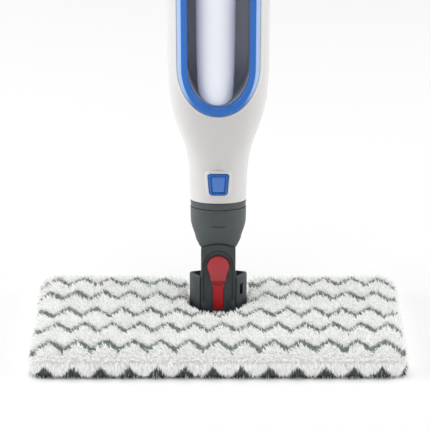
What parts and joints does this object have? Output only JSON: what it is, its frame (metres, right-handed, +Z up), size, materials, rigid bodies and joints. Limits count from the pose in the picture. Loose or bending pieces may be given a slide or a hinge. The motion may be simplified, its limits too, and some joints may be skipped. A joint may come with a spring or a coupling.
{
  "type": "steam mop",
  "caption": "Upright steam mop with a pile pad pocket on a wide flat head, a two-way neck, an oval window with a lift-out water tank and a trigger handle.",
  "frame": {"origin": "middle of the pad's flat underside, on the floor", "axes": "+Z up along the upright handle, +Y back towards the user, +X to the right as seen from the window side"},
  "size_m": [0.42, 0.1988, 1.213],
  "materials": {
    "white_shell": "satin white moulded ABS",
    "blue_trim": "gloss blue moulded ABS",
    "charcoal": "charcoal moulded ABS",
    "bay_grey": "slate grey moulded ABS",
    "neck_grey": "dark grey textured ABS",
    "red_lever": "red moulded ABS",
    "tank": "frosted clear polypropylene",
    "pile": "white microfibre pile with grey stripes",
    "rubber": "black rubber",
    "steel": "plated steel",
    "cast": "cast aluminium",
    "board": "green circuit board",
    "tube": "translucent silicone and nylon",
    "pole": "silver painted aluminium tube",
    "lens": "clear green polycarbonate"
  },
  "bodies": {
    "mop_head": {"head_top_cover": "charcoal", "head_bottom_cover": "charcoal", "steam_distributor": "charcoal", "steam_feed_pipe": "tube", "pivot_pin": "steel", "head_screw_1": "steel", "head_screw_2": "steel", "head_screw_3": "steel", "head_screw_4": "steel"},
    "pad": {"mop_pad": "pile"},
    "neck_housing": {"housing_front": "neck_grey", "housing_rear": "neck_grey", "pivot_bush_left": "tube", "pivot_bush_right": "tube", "housing_steam_tube": "tube", "swivel_pin": "steel", "housing_screw_1": "steel", "housing_screw_2": "steel", "lever_pin": "steel", "lever_spring": "steel"},
    "lock": {"lock_lever": "red_lever"},
    "neck_collar": {"collar_shell": "neck_grey", "collar_trim": "neck_grey", "collar_core": "charcoal", "collar_steam_tube": "tube", "stub_seal": "rubber"},
    "main_body": {"front_casing": "white_shell", "rear_casing": "white_shell", "casing_screw_1": "steel", "casing_screw_2": "steel", "casing_screw_3": "steel", "casing_screw_4": "steel", "window_frame": "blue_trim", "tank_bay": "bay_grey", "tank_seat": "rubber", "body_socket": "charcoal", "button_spring": "steel", "boiler": "cast", "water_pump": "charcoal", "boiler_water_tube": "tube", "tank_water_tube": "tube", "control_board": "board", "handle_pole": "pole", "pole_collar": "neck_grey", "grip_left": "neck_grey", "grip_right": "neck_grey", "trigger_spring": "steel", "trigger_switch": "rubber", "ready_lens": "lens", "lower_cord_hook": "neck_grey", "hook_bracket": "neck_grey", "hook_pin": "steel", "cord_gland": "rubber"},
    "button": {"release_button": "blue_trim", "latch_hook": "charcoal"},
    "water_tank": {"tank_shell": "tank", "tank_outlet": "tube"},
    "cap": {"tank_cap": "blue_trim"},
    "trigger": {"steam_trigger": "blue_trim"},
    "upper_hook": {"upper_cord_hook": "neck_grey"}
  },
  "joints": [
    {"name": "pad_slide", "type": "slide", "parent": "mop_head", "child": "pad", "axis": [0, -1, 0], "range_m": [0, 0.17]},
    {"name": "neck_pitch", "type": "hinge", "parent": "mop_head", "child": "neck_housing", "pos_m": [0, 0.05, 0.014], "axis": [-1, 0, 0], "range_deg": [0, 80]},
    {"name": "lever_rock", "type": "hinge", "parent": "neck_housing", "child": "lock", "pos_m": [0, 0.021, 0.0542], "axis": [-1, 0, 0], "range_deg": [0, 6], "stiffness_Nm_per_rad": 0.6, "deforming": ["lever_spring"]},
    {"name": "neck_swivel", "type": "hinge", "parent": "neck_housing", "child": "neck_collar", "pos_m": [0, 0.05, 0.079], "axis": [0, 1, 0], "range_deg": [-60, 60]},
    {"name": "body_lift", "type": "slide", "parent": "neck_collar", "child": "main_body", "axis": [0, 0, 1], "range_m": [0, 0.06]},
    {"name": "release_press", "type": "slide", "parent": "main_body", "child": "button", "axis": [0, 1, 0], "range_m": [0, 0.003], "stiffness_N_per_m": 1000, "deforming": ["button_spring"]},
    {"name": "tank_slide", "type": "slide", "parent": "main_body", "child": "water_tank", "axis": [0, -1, 0], "range_m": [0, 0.07]},
    {"name": "cap_lift", "type": "slide", "parent": "water_tank", "child": "cap", "axis": [0, 0, 1], "range_m": [0, 0.014]},
    {"name": "trigger_press", "type": "slide", "parent": "main_body", "child": "trigger", "axis": [0, 1, 0], "range_m": [0, 0.004], "stiffness_N_per_m": 900, "deforming": ["trigger_spring"]},
    {"name": "hook_turn", "type": "hinge", "parent": "main_body", "child": "upper_hook", "pos_m": [0, 0.075, 0.948], "axis": [0, 1, 0], "range_deg": [0, 180]}
  ]
}
